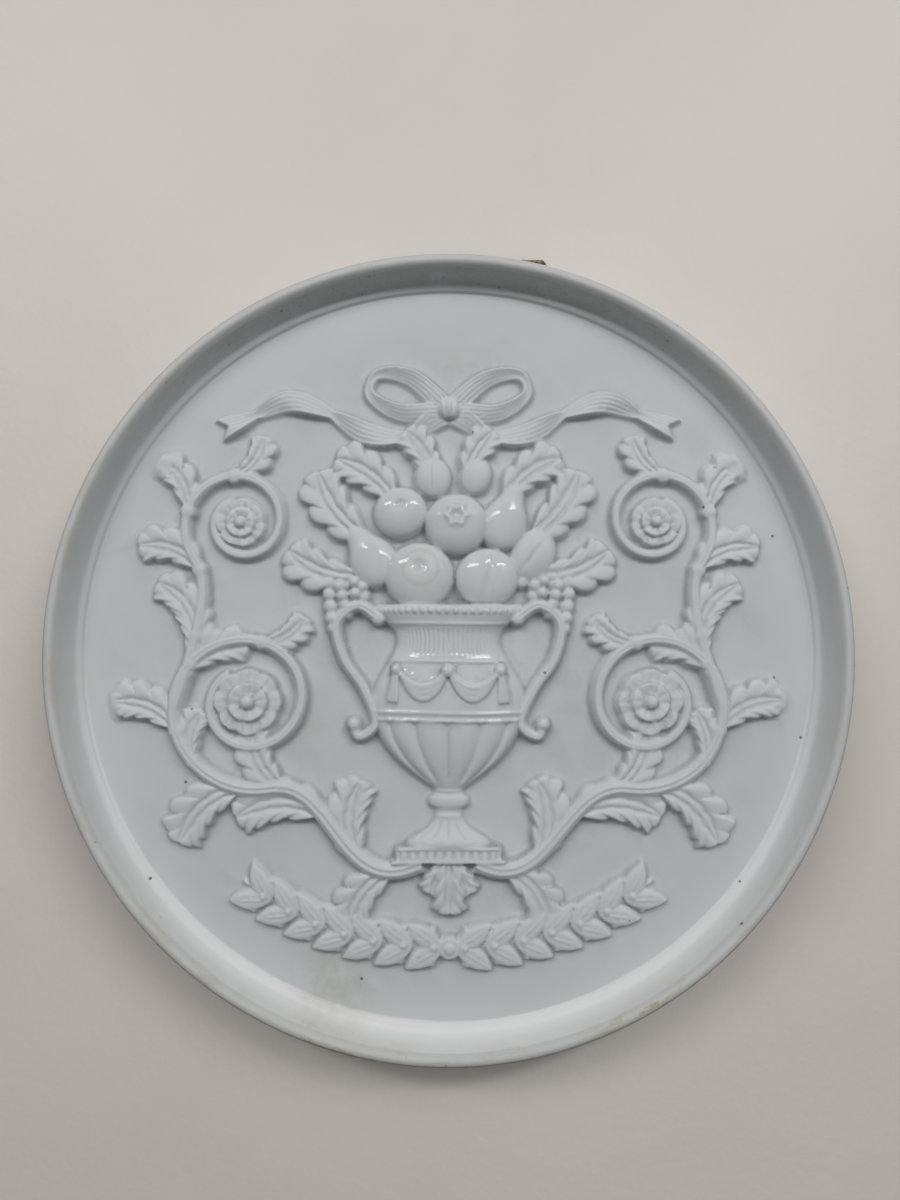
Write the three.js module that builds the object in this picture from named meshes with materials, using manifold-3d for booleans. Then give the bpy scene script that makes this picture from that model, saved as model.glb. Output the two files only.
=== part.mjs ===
// Round wall plaque of white biscuit porcelain: a raised rim around a flat field that carries a low relief.
// An urn of fruit stands between scrolling stems of leaves, under a ribbon bow and above a laurel swag.
// Millimetres, +Z up. The front faces -Y, and the foot ring's flat back lies in the wall plane y = 0.
// The origin is on that flat back, at the top of the foot ring.

import * as THREE from 'three';
import { mergeVertices } from 'three/addons/utils/BufferGeometryUtils.js';
import Module from 'manifold-3d';

const wasm = await Module();
wasm.setup();

// The plaque's body
const diameter = 145;
const rimWidth = 5.3;
const rimRise = 6;
const lipWidth = 2.6;
const stepHeight = 0.3;
const fieldThickness = 4.4;
const footHeight = 4.6;
const footWidth = 3.8;
const footInset = 11.1;
const footDraft = 0.35;
const edgeThickness = 8.6;
const turnedSides = 60;
const curveSteps = 2;
const leafSteps = 3;

// Two holes through the foot ring for a hanging cord
const cordHoleDiameter = 2;
const cordHoleAngle = 20;
const cordHoleSides = 10;

// The brown strip stuck on the back, and how far its top edge stands out past the rim
const stripWidth = 27;
const stripThickness = 0.6;
const stripOffset = 6.2;
const stripRise = 3.1;
const stripGap = 0.3;
const tornDepth = 1.1;
const tornSteps = 6;

// The relief: how far it keeps from the rim, its highest form, and how deep its forms are rooted
const reliefMargin = 7.2;
const reliefHeight = 4.4;
const reliefRoot = 0.8;
const swagPairs = 7;

// How high each kind of form rises, as a share of the relief's height
const stemRise = 0.62;
const stemTipRise = 0.44;
const branchRise = 0.54;
const branchTipRise = 0.38;
const leafRise = 0.46;
const flowerRise = 0.68;
const ribbonRise = 0.36;
const bossRise = 0.6;
const plinthRise = 0.58;

const outerRadius = diameter / 2;
const fieldRadius = outerRadius - rimWidth;
const fieldFront = footHeight + fieldThickness;
const rimFront = fieldFront + rimRise;
const footOuter = outerRadius - footInset;
const footInner = footOuter - footWidth;
const footMiddle = (footOuter + footInner) / 2;

// The relief is drawn on a grid with so many units from its centre to its edge
const gridRadius = 60;
const unit = (fieldRadius - reliefMargin) / gridRadius;

// Front distances are measured from the wall plane, and the front faces -Y
const toFront = (distance) => -distance;

const degrees = THREE.MathUtils.degToRad;
const at = (x, y) => new THREE.Vector2(x, y);

// Closed geometry with shared vertices and without the triangles that shrink to nothing on an axis
function weld(geometry) {
  const bare = geometry.clone();
  bare.deleteAttribute('normal');
  bare.deleteAttribute('uv');
  const merged = mergeVertices(bare, 1e-4);
  const corners = merged.index.array;
  const kept = [];
  for (let i = 0; i < corners.length; i += 3) {
    const [a, b, c] = [corners[i], corners[i + 1], corners[i + 2]];
    if (a !== b && b !== c && c !== a) {
      kept.push(a, b, c);
    }
  }
  merged.setIndex(kept);
  return merged;
}

function solid(geometry) {
  const welded = weld(geometry);
  return new wasm.Manifold(new wasm.Mesh({
    numProp: 3,
    vertProperties: new Float32Array(welded.attributes.position.array),
    triVerts: new Uint32Array(welded.index.array),
  }));
}

function toGeometry(manifold) {
  const mesh = manifold.getMesh();
  const geometry = new THREE.BufferGeometry();
  geometry.setAttribute('position', new THREE.BufferAttribute(new Float32Array(mesh.vertProperties), 3));
  geometry.setIndex(Array.from(mesh.triVerts));
  return geometry;
}

// Moves every vertex of a geometry to where place(x, y, z) says
function reshape(geometry, place) {
  const position = geometry.attributes.position;
  const vertex = new THREE.Vector3();
  for (let i = 0; i < position.count; i += 1) {
    vertex.fromBufferAttribute(position, i);
    position.setXYZ(i, ...place(vertex.x, vertex.y, vertex.z));
  }
  return geometry;
}

function mirrored(geometry) {
  const copy = weld(geometry);
  copy.scale(-1, 1, 1);
  copy.setIndex(Array.from(copy.index.array).reverse());
  return copy;
}

// The section through rim, foot ring and recess, as distance from the axis and from the wall
function bodyGeometry() {
  const lipCrown = outerRadius - lipWidth * 0.6;
  const lipInner = outerRadius - lipWidth;
  const stepFront = fieldFront + stepHeight;
  const edgeBack = rimFront - edgeThickness;
  const section = new THREE.Path();
  section.moveTo(0, toFront(fieldFront));
  section.lineTo(fieldRadius, toFront(fieldFront));
  section.lineTo(fieldRadius + stepHeight, toFront(stepFront));
  section.quadraticCurveTo(lipInner - lipWidth / 6, toFront(stepFront + stepHeight), lipInner,
    toFront(rimFront - lipWidth / 2));
  section.quadraticCurveTo(lipInner + lipWidth / 12, toFront(rimFront), lipCrown, toFront(rimFront));
  section.quadraticCurveTo(outerRadius, toFront(rimFront), outerRadius, toFront(rimFront - lipWidth));
  section.lineTo(outerRadius, toFront((rimFront + edgeBack) / 2));
  section.quadraticCurveTo(outerRadius, toFront(edgeBack), footOuter + footInset / 2, toFront(footHeight));
  section.lineTo(footOuter + footDraft, toFront(footHeight));
  section.lineTo(footOuter, 0);
  section.lineTo(footInner, 0);
  section.lineTo(footInner - footDraft, toFront(footHeight));
  section.lineTo(0, toFront(footHeight));
  return new THREE.LatheGeometry(section.getPoints(curveSteps), turnedSides);
}

function cordHoles() {
  return [-cordHoleAngle, cordHoleAngle].map((angle) => {
    const hole = new THREE.CylinderGeometry(cordHoleDiameter / 2, cordHoleDiameter / 2, footWidth * 3,
      cordHoleSides);
    hole.rotateX(Math.PI / 2);
    hole.translate(0, toFront(footHeight / 2), footMiddle);
    hole.rotateY(degrees(angle));
    return solid(hole);
  });
}

// Cross sections of the raised forms, as shares of half the width and of the height, from the crown round.
// A height under 0 is the root, inside the field.
const hollowed = [[0, 0.62], [0.84, 0.95], [1, -1], [-1, -1], [-0.84, 0.95]];
const flat = [[1, 1], [1, -1], [-1, -1], [-1, 1]];
const ridged = [[0, 1], [1.15, -1], [-1.15, -1]];

// A form bent along a curve on the field: the sections of a cylinder are set across the curve.
// width and height are functions of the share of the curve's length that is passed.
function bent(curve, steps, width, height, section) {
  const bar = new THREE.CylinderGeometry(1, 1, 1, section.length, steps);
  return reshape(bar, (x, y, z) => {
    const share = THREE.MathUtils.clamp(y + 0.5, 0, 1);
    const point = curve.getPointAt(share);
    const along = curve.getTangentAt(share);
    const turn = Math.round((Math.atan2(x, z) / (2 * Math.PI)) * section.length);
    const [across, up] = Math.hypot(x, z) < 0.5 ? [0, 0] : section.at(turn % section.length);
    const aside = across * width(share);
    const rise = up < 0 ? -reliefRoot : up * height(share);
    return [
      unit * (point.x + along.y * aside),
      toFront(fieldFront + rise),
      unit * (point.y - along.x * aside),
    ];
  });
}

// A rounded fruit or bead, standing on the field at x, y
function dome(x, y, radiusX, radiusY, height, turn = 0, sides = 9) {
  const ball = new THREE.SphereGeometry(1, sides, sides > 6 ? 6 : 4);
  ball.rotateX(Math.PI / 2);
  reshape(ball, (a, b, c) => [
    unit * radiusX * a,
    -(b < 0 ? -b * height : -b * reliefRoot),
    unit * radiusY * c,
  ]);
  ball.rotateY(-degrees(turn));
  ball.translate(unit * x, toFront(fieldFront), unit * y);
  return ball;
}

// A stalk that swings into a spiral and closes on its eye
class Spiral extends THREE.Curve {
  constructor(eye, outer, inner, start, turns) {
    super();
    Object.assign(this, { eye, outer, inner, start, turns });
  }

  getPoint(t, target = new THREE.Vector2()) {
    const radius = this.outer * (this.inner / this.outer) ** t;
    const angle = degrees(this.start) + 2 * Math.PI * this.turns * t;
    return target.set(this.eye.x + radius * Math.cos(angle), this.eye.y + radius * Math.sin(angle));
  }
}

function volute(root, lean, swing, spiral) {
  const entry = spiral.getPoint(0);
  const heading = spiral.getTangent(0);
  const path = new THREE.CurvePath();
  path.add(new THREE.CubicBezierCurve(
    root,
    lean,
    at(entry.x - heading.x * swing, entry.y - heading.y * swing),
    entry,
  ));
  path.add(spiral);
  path.arcLengthDivisions = 400;
  return path;
}

const taper = (thick, thin) => (t) => THREE.MathUtils.lerp(thick, thin, t);
const leafWidth = (width) => (t) => width * Math.sin(Math.PI * Math.min(1, 0.14 + 0.84 * t)) + 0.12;
const leafHeight = (height) => (t) => height * (0.8 + 0.3 * Math.sin(Math.PI * t));

function leaf(root, control, tip, width, height, section) {
  const curve = new THREE.QuadraticBezierCurve(root, control, tip);
  return bent(curve, leafSteps, leafWidth(width), leafHeight(height), section);
}

// A leaf that parts from a stem at a share of its length and curls away to one side
function leafFrom(stem, section, share, side, length, width) {
  const root = stem.getPointAt(share);
  const heading = stem.getTangentAt(share);
  const toward = (angle, reach) => root.clone().addScaledVector(
    heading.clone().rotateAround(at(0, 0), degrees(side * angle)), reach);
  const tip = toward(50, length * 1.08);
  return leaf(root, toward(16, length * 0.6), tip, width, reliefHeight * leafRise, section);
}

// A leaf that stands by itself: bend is how far it turns from its first heading
function freeLeaf(x, y, heading, bend, length, width, section = hollowed) {
  const toward = (angle, reach) => at(
    x + Math.cos(degrees(angle)) * reach,
    y + Math.sin(degrees(angle)) * reach,
  );
  const tip = toward(heading + bend, length);
  return leaf(at(x, y), toward(heading, length * 0.55), tip, width, reliefHeight * leafRise, section);
}

// A flower of rounded petals round its middle
function rosette(x, y, radius, petals, height) {
  const flower = new THREE.SphereGeometry(1, petals * 2, 4);
  flower.rotateX(Math.PI / 2);
  return reshape(flower, (a, b, c) => {
    const reach = radius * (1 + 0.14 * Math.cos(petals * Math.atan2(c, a)));
    return [
      unit * (x + reach * a),
      toFront(fieldFront + (b < 0 ? -b * height : -b * reliefRoot)),
      unit * (y + reach * c),
    ];
  });
}

// The urn, as half widths at levels of the grid
const urnSection = [
  [0, -35], [7.4, -35], [7.2, -33.6], [3.4, -31.4], [2.3, -28.6], [3.6, -26.8], [2.5, -25],
  [9.4, -19.4], [12.6, -15], [13.8, -10], [13.4, -6], [11, -2], [9.4, 1.4], [9.8, 4.2],
  [13.6, 7.6], [13.2, 8.8], [0, 8.8],
];
const urnBelly = 13.8;

function urn() {
  const section = urnSection.map(([half, level]) => at(half, level));
  const body = new THREE.LatheGeometry(section, 12);
  body.rotateX(Math.PI / 2);
  return reshape(body, (x, y, z) => {
    const half = Math.hypot(x, y);
    const depth = reliefHeight * (half / urnBelly) ** 0.6;
    const rise = half > 0 ? (-y / half) * depth : 0;
    return [unit * x, toFront(fieldFront + Math.max(rise, -reliefRoot)), unit * z];
  });
}

function plinth() {
  const height = reliefHeight * plinthRise;
  const [width, top, bottom] = [19, -35, -38];
  const block = new THREE.BoxGeometry(unit * width, reliefRoot + height, unit * (top - bottom));
  block.translate(0, toFront(fieldFront + (height - reliefRoot) / 2), (unit * (top + bottom)) / 2);
  return block;
}

// Lobes round the lower bowl of the urn, each at its share of the bowl's half width
function gadroons() {
  return [-0.8, -0.5, -0.17, 0.17, 0.5, 0.8].map((share) => {
    const spread = 12.2 * share;
    const lobe = new THREE.QuadraticBezierCurve(at(spread * 0.28, -23), at(spread * 0.85, -20.5),
      at(spread, -12.6));
    const depth = reliefHeight * Math.sqrt(1 - share ** 2 * 0.8);
    const narrowing = Math.sqrt(1 - share ** 2 * 0.5);
    return bent(lobe, 2, (t) => 0.5 + 1.3 * t * narrowing, (t) => depth * (0.78 + 0.4 * t), ridged);
  });
}

function curveThrough(points) {
  return new THREE.CatmullRomCurve3(points.map(([x, y]) => new THREE.Vector3(x, y, 0)));
}

function handle() {
  const curve = curveThrough([
    [12.4, 6.2], [16.6, 8.6], [20.4, 5.4], [19.2, -1], [15.6, -6.4], [13.2, -12.6], [16.2, -15.2],
    [17.4, -12.6],
  ]);
  return bent(curve, 12, taper(1.4, 1), taper(reliefHeight * stemRise, reliefHeight * stemTipRise), ridged);
}

// The stems: a root at the plinth, a large spiral, and a smaller one that forks from it
const eye = at(36.5, -9);
const upperEye = at(38, 24);
const stem = volute(at(5, -38), at(19, -45), 12, new Spiral(eye, 16, 6.2, -105, 1.45));
const fork = stem.getPointAt(0.46);
const upperStem = volute(fork, at(fork.x - 3, fork.y + 10), 7, new Spiral(upperEye, 11, 4.4, -40, 1.3));

// Leaves on a stem, as [share of its length, side, length, width]
const stemLeaves = [
  [0.04, -1, 13, 4], [0.09, 1, 14, 4], [0.17, -1, 16, 4.6], [0.24, 1, 12, 3.6], [0.3, -1, 15, 4.4],
  [0.43, -1, 13, 3.8], [0.53, -1, 12, 3.4], [0.64, -1, 9, 2.8], [0.38, 1, 9, 2.8],
];
const upperLeaves = [
  [0.08, 1, 12, 3.6], [0.16, -1, 12, 3.6], [0.3, -1, 12, 3.6], [0.43, -1, 11, 3.2], [0.56, -1, 9, 2.8],
];

function scrollwork() {
  const stemHeight = taper(reliefHeight * stemRise, reliefHeight * stemTipRise);
  const branchHeight = taper(reliefHeight * branchRise, reliefHeight * branchTipRise);
  return [
    bent(stem, 28, taper(1.9, 1), stemHeight, ridged),
    bent(upperStem, 18, taper(1.5, 0.9), branchHeight, ridged),
    rosette(eye.x, eye.y, 6, 8, reliefHeight * flowerRise),
    rosette(upperEye.x, upperEye.y, 4.5, 7, reliefHeight * bossRise),
    ...stemLeaves.map((values) => leafFrom(stem, hollowed, ...values)),
    ...upperLeaves.map((values) => leafFrom(upperStem, ridged, ...values)),
  ];
}

// Fruit in the urn, as [x, y, half width, half height, share of the relief's height, turn]
const fruits = [
  [-5.4, 14, 6.4, 6, 1, 0], [7, 13.6, 5.8, 5.4, 0.9, 0], [-14, 17.6, 4.5, 6.2, 0.78, 32],
  [15.4, 17.8, 4, 5, 0.72, -30], [1.4, 23.4, 5.8, 5.6, 0.98, 0], [10.4, 25, 4.3, 6, 0.8, -18],
  [-8.8, 25.6, 4.9, 4.7, 0.84, 0], [-3, 32, 3.4, 3.8, 0.66, 10], [4.8, 32.4, 3, 3.6, 0.6, -12],
];

function grapes(x, y, rows) {
  const balls = [];
  for (let row = 0; row < rows; row += 1) {
    const count = rows - row;
    for (let i = 0; i < count; i += 1) {
      const shift = (i - (count - 1) / 2) * 3.6;
      const height = reliefHeight * (0.72 - 0.07 * row);
      balls.push(dome(x + shift + row * 1.2, y - row * 3.2, 2.1, 2.1, height, 0, 6));
    }
  }
  return balls;
}

function fruitSide() {
  return [
    ...grapes(17.4, 11.4, 3),
    freeLeaf(16, 14, -6, 26, 14, 4.2),
    freeLeaf(15, 21, 32, 22, 15, 4.4),
    freeLeaf(10, 28, 56, -20, 13, 4),
    freeLeaf(3, 32, 74, -14, 10, 3.2),
  ];
}

function ribbonSide() {
  const loopTop = curveThrough([[1, 45.6], [7, 50.6], [13, 51.4], [14.6, 48.2]]);
  const loopFoot = curveThrough([[14.2, 49], [12.8, 45.8], [9, 44.2], [1.4, 44.4]]);
  const tail = curveThrough([[1, 44], [8, 40], [15, 40.4], [22, 44.2], [29, 46.2], [36, 43.6], [42.5, 41]]);
  const rise = reliefHeight * ribbonRise;
  return [
    bent(loopTop, 6, () => 1.5, (t) => rise * (1.35 - 0.1 * t), flat),
    bent(loopFoot, 5, () => 1.4, (t) => rise * (1.1 + 0.05 * t), flat),
    bent(tail, 12, (t) => 1.4 + 0.6 * Math.abs(Math.cos(3 * Math.PI * t)), () => rise, flat),
  ];
}

// Paired laurel leaves along a hanging curve, from the middle outwards
function swagSide() {
  const curve = new THREE.QuadraticBezierCurve(at(0, -53), at(22, -52.8), at(37, -41));
  const forms = [];
  for (let i = 0; i < swagPairs; i += 1) {
    const share = 0.03 + (0.95 * i) / swagPairs;
    const root = curve.getPointAt(share);
    const heading = THREE.MathUtils.radToDeg(curve.getTangentAt(share).angle());
    for (const side of [-1, 1]) {
      forms.push(freeLeaf(root.x, root.y, heading + side * 26, side * 6, 7.6, 1.8, ridged));
    }
  }
  return forms;
}

// Leaves that fan out below the plinth, and the bosses that hold the swag and the bow together
function middleForms() {
  return [
    freeLeaf(0, -37, -90, 0, 10, 3),
    dome(0, -53, 2.2, 2.2, reliefHeight * bossRise, 0, 8),
    dome(0, 45, 2.3, 2.1, reliefHeight * bossRise, 0, 8),
    ...fruits.map(([x, y, across, along, share, turn]) => dome(x, y, across, along,
      reliefHeight * share, turn)),
  ];
}

function reliefSolids() {
  const side = [...scrollwork(), ...fruitSide(), ...ribbonSide(), ...swagSide(), handle()];
  const middle = [urn(), plinth(), ...gadroons(), ...middleForms()];
  return [...middle, ...side, ...side.map(mirrored)].map(solid);
}

function plaqueGeometry() {
  let body = solid(bodyGeometry());
  for (const form of reliefSolids()) {
    body = body.add(form);
  }
  for (const hole of cordHoles()) {
    body = body.subtract(hole);
  }
  return toGeometry(body);
}

// The strip lies on the flat back of the rim, above the foot ring, and its right end is torn
function stripGeometry() {
  const left = stripOffset - stripWidth / 2;
  const right = left + stripWidth;
  const top = outerRadius + stripRise;
  const bottom = footOuter + footDraft + stripGap;
  const outline = new THREE.Shape();
  outline.moveTo(left, top);
  outline.lineTo(left, bottom);
  for (let i = 0; i < tornSteps; i += 1) {
    const torn = tornDepth * (0.5 + 0.5 * Math.sin(2.4 * i));
    outline.lineTo(right - torn, THREE.MathUtils.lerp(bottom, top, i / tornSteps));
  }
  outline.lineTo(right, top);
  const strip = new THREE.ExtrudeGeometry(outline, { depth: stripThickness, bevelEnabled: false });
  strip.rotateX(Math.PI / 2);
  strip.translate(0, toFront(footHeight - stripGap - stripThickness), 0);
  return weld(strip);
}

const porcelain = new THREE.MeshStandardMaterial({ color: 0xe6e7e5, roughness: 0.62, metalness: 0 });
porcelain.flatShading = true;
const linen = new THREE.MeshStandardMaterial({ color: 0x7a5238, roughness: 0.9, metalness: 0 });
linen.flatShading = true;

const plaque = new THREE.Mesh(plaqueGeometry(), porcelain);
plaque.name = 'plaque';
plaque.position.z = -footMiddle;

const strip = new THREE.Mesh(stripGeometry(), linen);
strip.name = 'backing_strip';
strip.position.z = -footMiddle;

const group = new THREE.Group();
group.add(plaque, strip);

export default group;
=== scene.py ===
"""A round wall plaque of biscuit porcelain: an urn of fruit between leafy scrolls, cast in low relief
inside a raised rim, with a torn strip of brown linen glued to its back.

The plaque hangs in the XZ plane and faces -Y. Lengths are metres, except in the relief,
which is drawn on a sheet measured in millimetres from the middle of the plaque.
"""

import math

import bmesh
import bpy
import numpy as np
from bpy.props import FloatProperty, FloatVectorProperty, IntProperty, PointerProperty
from bpy.types import Operator, Panel, PropertyGroup
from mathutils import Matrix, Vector


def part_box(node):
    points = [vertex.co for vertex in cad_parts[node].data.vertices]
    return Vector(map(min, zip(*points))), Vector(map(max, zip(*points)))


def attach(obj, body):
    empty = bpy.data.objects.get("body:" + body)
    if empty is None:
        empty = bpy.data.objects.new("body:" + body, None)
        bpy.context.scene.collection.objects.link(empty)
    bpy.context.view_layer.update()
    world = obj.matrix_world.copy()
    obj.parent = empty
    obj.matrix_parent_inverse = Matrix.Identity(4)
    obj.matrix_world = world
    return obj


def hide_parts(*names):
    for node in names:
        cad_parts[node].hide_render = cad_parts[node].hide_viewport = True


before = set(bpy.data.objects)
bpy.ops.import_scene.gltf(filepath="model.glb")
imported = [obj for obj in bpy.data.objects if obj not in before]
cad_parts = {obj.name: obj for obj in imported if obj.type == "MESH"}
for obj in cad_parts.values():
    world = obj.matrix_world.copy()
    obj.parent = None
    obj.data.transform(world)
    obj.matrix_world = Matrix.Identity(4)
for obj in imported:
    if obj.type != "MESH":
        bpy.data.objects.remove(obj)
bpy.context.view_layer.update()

bl_info = {
    "name": "Porcelain Relief Plaque",
    "version": (1, 0, 0),
    "blender": (4, 5, 0),
    "location": "3D View > Sidebar > Plaque",
    "description": "Casts a round porcelain plaque with an urn of fruit in low relief",
    "category": "Add Mesh",
}

MM = 0.001
ON_PLANE = 1e-6    # how far off a plane still counts as on it
PLAQUE_LOW, PLAQUE_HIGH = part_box("plaque")
STRIP_LOW, STRIP_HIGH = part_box("backing_strip")
CENTRE = (PLAQUE_LOW + PLAQUE_HIGH) / 2
RADIUS = (PLAQUE_HIGH.x - PLAQUE_LOW.x) / 2
FRONT = PLAQUE_LOW.y
BACK = PLAQUE_HIGH.y


# Sizes and finishes that a user can change


def length(name, description, millimetres):
    return FloatProperty(
        name=name, description=description, default=millimetres * MM, unit="LENGTH", precision=5)


def number(name, description, default, unit="NONE"):
    return FloatProperty(name=name, description=description, default=default, unit=unit)


def bearing(name, description, degrees):
    return number(name, description, math.radians(degrees), "ROTATION")


def share(name, description, default):
    return FloatProperty(
        name=name, description=description, default=default, min=0, max=1, subtype="FACTOR")


def colour(name, description, default):
    return FloatVectorProperty(
        name=name, description=description, default=default, min=0, max=1, subtype="COLOR")


class BodySizes(PropertyGroup):
    rim_width: length("Rim width", "From the edge of the field to the outside", 5.3)
    rim_rise: length("Rim rise", "How far the rim stands above the field", 6)
    lip_width: length("Lip width", "Width of the rounded top of the rim", 2.6)
    step: length("Step", "Height of the small step round the field", 0.42)
    side_height: length("Side height", "From the front to where the side starts to round", 4.3)
    side_pull: length("Side pull", "From the front to the corner that the side rounds off", 8.6)
    side_round: length("Side round", "How far in the rounding of the side meets the back", 5.55)
    foot_height: length("Foot height", "How far the foot ring stands behind the back", 4.6)
    foot_width: length("Foot width", "Width of the foot ring's land", 3.8)
    foot_inset: length("Foot inset", "From the outside of the plaque to the foot ring", 11.1)
    foot_draft: length("Foot draft", "How much the foot ring widens to its root", 0.35)
    hole_diameter: length("Hole diameter", "The two holes for a cord through the foot ring", 2)
    hole_angle: bearing("Hole angle", "Each hole's place to the side of the top", 20)
    cell: length("Cell", "Size of a face on the bare field", 1.12)
    triangles: IntProperty(
        name="Triangles", description="Most that the casting may have", default=192000)


class ReliefSizes(PropertyGroup):
    height: length("Height", "Of the fullest forms over the field", 4.4)
    softness: number("Softness", "Blur of the mould, in sheet units", 0.12)
    fillet: number("Fillet", "Reach of the soft join to the field, in sheet units", 0.34)
    wander: number("Wander", "How far hand work strays, in sheet units", 0.22)
    margin: length("Margin", "Bare field between the ornament and the rim", 7.2)
    unevenness: length("Unevenness", "Waviness of the bare field", 0.045)


class PorcelainLook(PropertyGroup):
    body: colour("Body", "The bare biscuit surface", (0.724, 0.753, 0.761))
    cloud: colour("Cloud", "Broad patches that are a little greyer", (0.672, 0.695, 0.703))
    stain: colour("Stain", "Faint warm stains of age", (0.70, 0.68, 0.67))
    raised: colour("Raised", "Cleaner, whiter forms of the relief", (0.797, 0.827, 0.832))
    # Recess: painted shade, with a little grime, that darkens the hollows and the foot of each form
    recess: colour("Recess", "Greyer tone kept in the hollows", (0.30, 0.30, 0.29))
    # The next two tones: painted shade under the top of the rim and on the field just inside it, mixed
    # with a little real dirt whose grains show in it
    dust_and_shade_film: colour("Film", "Thin, even dust under the top of the rim", (0.42, 0.405, 0.36))
    dust_and_shade: colour("Dust", "Grains of dust in the same place", (0.22, 0.18, 0.14))
    # Painted light: a whiter tone low in the rim's cove, where it faces the upper lamps
    clean: colour("Clean", "Whiter tone low in the rim, where no dust lies", (0.915, 0.92, 0.918))
    handled: colour("Handled", "Even tone of the lip, where it is held", (0.70, 0.685, 0.63))
    grime: colour("Grime", "Yellowed handling marks on the lip", (0.48, 0.38, 0.21))
    smudge: colour("Smudge", "The dull mark low on the left of the field", (0.48, 0.46, 0.38))
    ring: colour("Ring", "The faint ring stain on one of the fruits", (0.50, 0.40, 0.24))
    foot: colour("Foot", "The foot ring's land, soiled by the wall", (0.60, 0.58, 0.53))
    fleck: colour("Fleck", "Dark specks fired into the surface", (0.10, 0.075, 0.06))
    roughness: share("Roughness", "Of the matt biscuit", 0.56)
    polish: share("Polish", "Roughness of the rubbed, shining high spots", 0.07)
    translucence: share("Translucence", "How much light the paste lets in", 0.14)


class LinenLook(PropertyGroup):
    cloth: colour("Cloth", "The brown gummed linen", (0.22, 0.155, 0.09))
    patch: colour("Patch", "Lighter patches of the cloth", (0.31, 0.23, 0.14))
    worn: colour("Worn", "Rubbed threads and paper fibre", (0.62, 0.50, 0.38))
    glue: colour("Glue", "Darkened glue between the threads", (0.09, 0.05, 0.035))
    thread: length("Thread", "Spacing of the weave", 0.42)


class StageLook(PropertyGroup):
    wall: colour("Wall", "The pale surface behind the plaque", (0.91, 0.855, 0.79))
    shade: colour("Shade", "The wall's slightly darker clouds", (0.86, 0.80, 0.74))
    lens: number("Lens", "Focal length in millimetres, for a 36 mm sensor", 24.69)
    distance: length("Distance", "From the wall to the camera", 160.7)
    rise: length("Rise", "Height of the camera above the middle of the plaque", 4.1)
    aside: length("Aside", "How far the camera stands to the right of the middle", 0.26)
    pitch: bearing("Pitch", "Downward tilt of the camera", -2.11)
    key: number("Key", "Power that the upper lamps and sheets take shares of", 1.95, "POWER")
    front: number("Front", "Power of the front light", 0.7, "POWER")
    back: number("Back", "Power of the lamp behind the plaque", 2.6, "POWER")
    room: colour("Room", "Tone of the pale surroundings", (0.95, 0.975, 1.0))
    fill: number("Fill", "Strength of the pale surroundings", 0.025)


class PlaqueSettings(PropertyGroup):
    body: PointerProperty(type=BodySizes)
    relief: PointerProperty(type=ReliefSizes)
    porcelain: PointerProperty(type=PorcelainLook)
    linen: PointerProperty(type=LinenLook)
    stage: PointerProperty(type=StageLook)


# The sheet that the relief is drawn on

CELL = 0.1                # size of one cell of the raster
SHEET_HALF = 64.0         # from the middle of the sheet to its sides
SHEET_SIZE = int(2 * SHEET_HALF / CELL) + 1
ORNAMENT_RADIUS = 60.0    # what the ornament keeps within
FULL = 3.4                # level of the fullest forms


class Sheet:
    """Heights over the field on a square raster, where the higher of two forms wins"""

    def __init__(self):
        self.heights = np.zeros((SHEET_SIZE, SHEET_SIZE), np.float32)

    def lay(self, x, y, height):
        column = np.rint((x + SHEET_HALF) / CELL).astype(np.int32).ravel()
        row = np.rint((y + SHEET_HALF) / CELL).astype(np.int32).ravel()
        inside = (column >= 0) & (column < SHEET_SIZE) & (row >= 0) & (row < SHEET_SIZE)
        heights = np.broadcast_to(height, x.shape).astype(np.float32).ravel()
        np.maximum.at(self.heights, (row[inside], column[inside]), heights[inside])

    def join(self, other):
        self.heights = np.maximum(self.heights, other.heights)

    def mirror(self):
        """Adds what the left side would show of the right side's forms"""
        self.heights = np.maximum(self.heights, self.heights[:, ::-1])


class Path:
    """A drawn line with even steps along it"""

    def __init__(self, points):
        self.points = np.asarray(points, float)
        steps = np.hypot(*np.diff(self.points, axis=0).T)
        self.walked = np.concatenate([[0], np.cumsum(steps)])
        self.length = self.walked[-1]

    def at(self, share_along):
        walked = clamped(share_along) * self.length
        return np.stack([np.interp(walked, self.walked, self.points[:, axis]) for axis in (0, 1)], -1)

    def heading(self, share_along):
        step = 0.004
        ahead = self.at(clamped(np.asarray(share_along) + step))
        behind = self.at(clamped(np.asarray(share_along) - step))
        way = ahead - behind
        return way / np.maximum(np.linalg.norm(way, axis=-1, keepdims=True), 1e-9)

    def degrees(self, share_along):
        """The heading at one place, as an angle"""
        way = self.heading(share_along)
        return math.degrees(math.atan2(way[1], way[0]))

    def place(self, along, across, forward=0.0):
        """Sheet coordinates of points so far along the line, across it and ahead"""
        middle = self.at(along)
        way = self.heading(along)
        x = middle[..., 0] - way[..., 1] * across + way[..., 0] * forward
        y = middle[..., 1] + way[..., 0] * across + way[..., 1] * forward
        return x, y

    def samples(self, half_width):
        """Even samples: s runs from 0 to 1 along the line, t from -1 to 1 across it"""
        per_cell = 2.4
        along = max(int(self.length / CELL * per_cell), 12)
        across = max(int(2 * half_width / CELL * per_cell), 8)
        return np.meshgrid(np.linspace(0, 1, along), np.linspace(-1, 1, across), indexing="ij")


def bezier(*controls, steps=80):
    rows = [np.asarray(point, float) for point in controls]
    t = np.linspace(0, 1, steps)[:, None]
    while len(rows) > 1:
        rows = [(1 - t) * a + t * b for a, b in zip(rows, rows[1:])]
    return rows[0]


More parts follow.
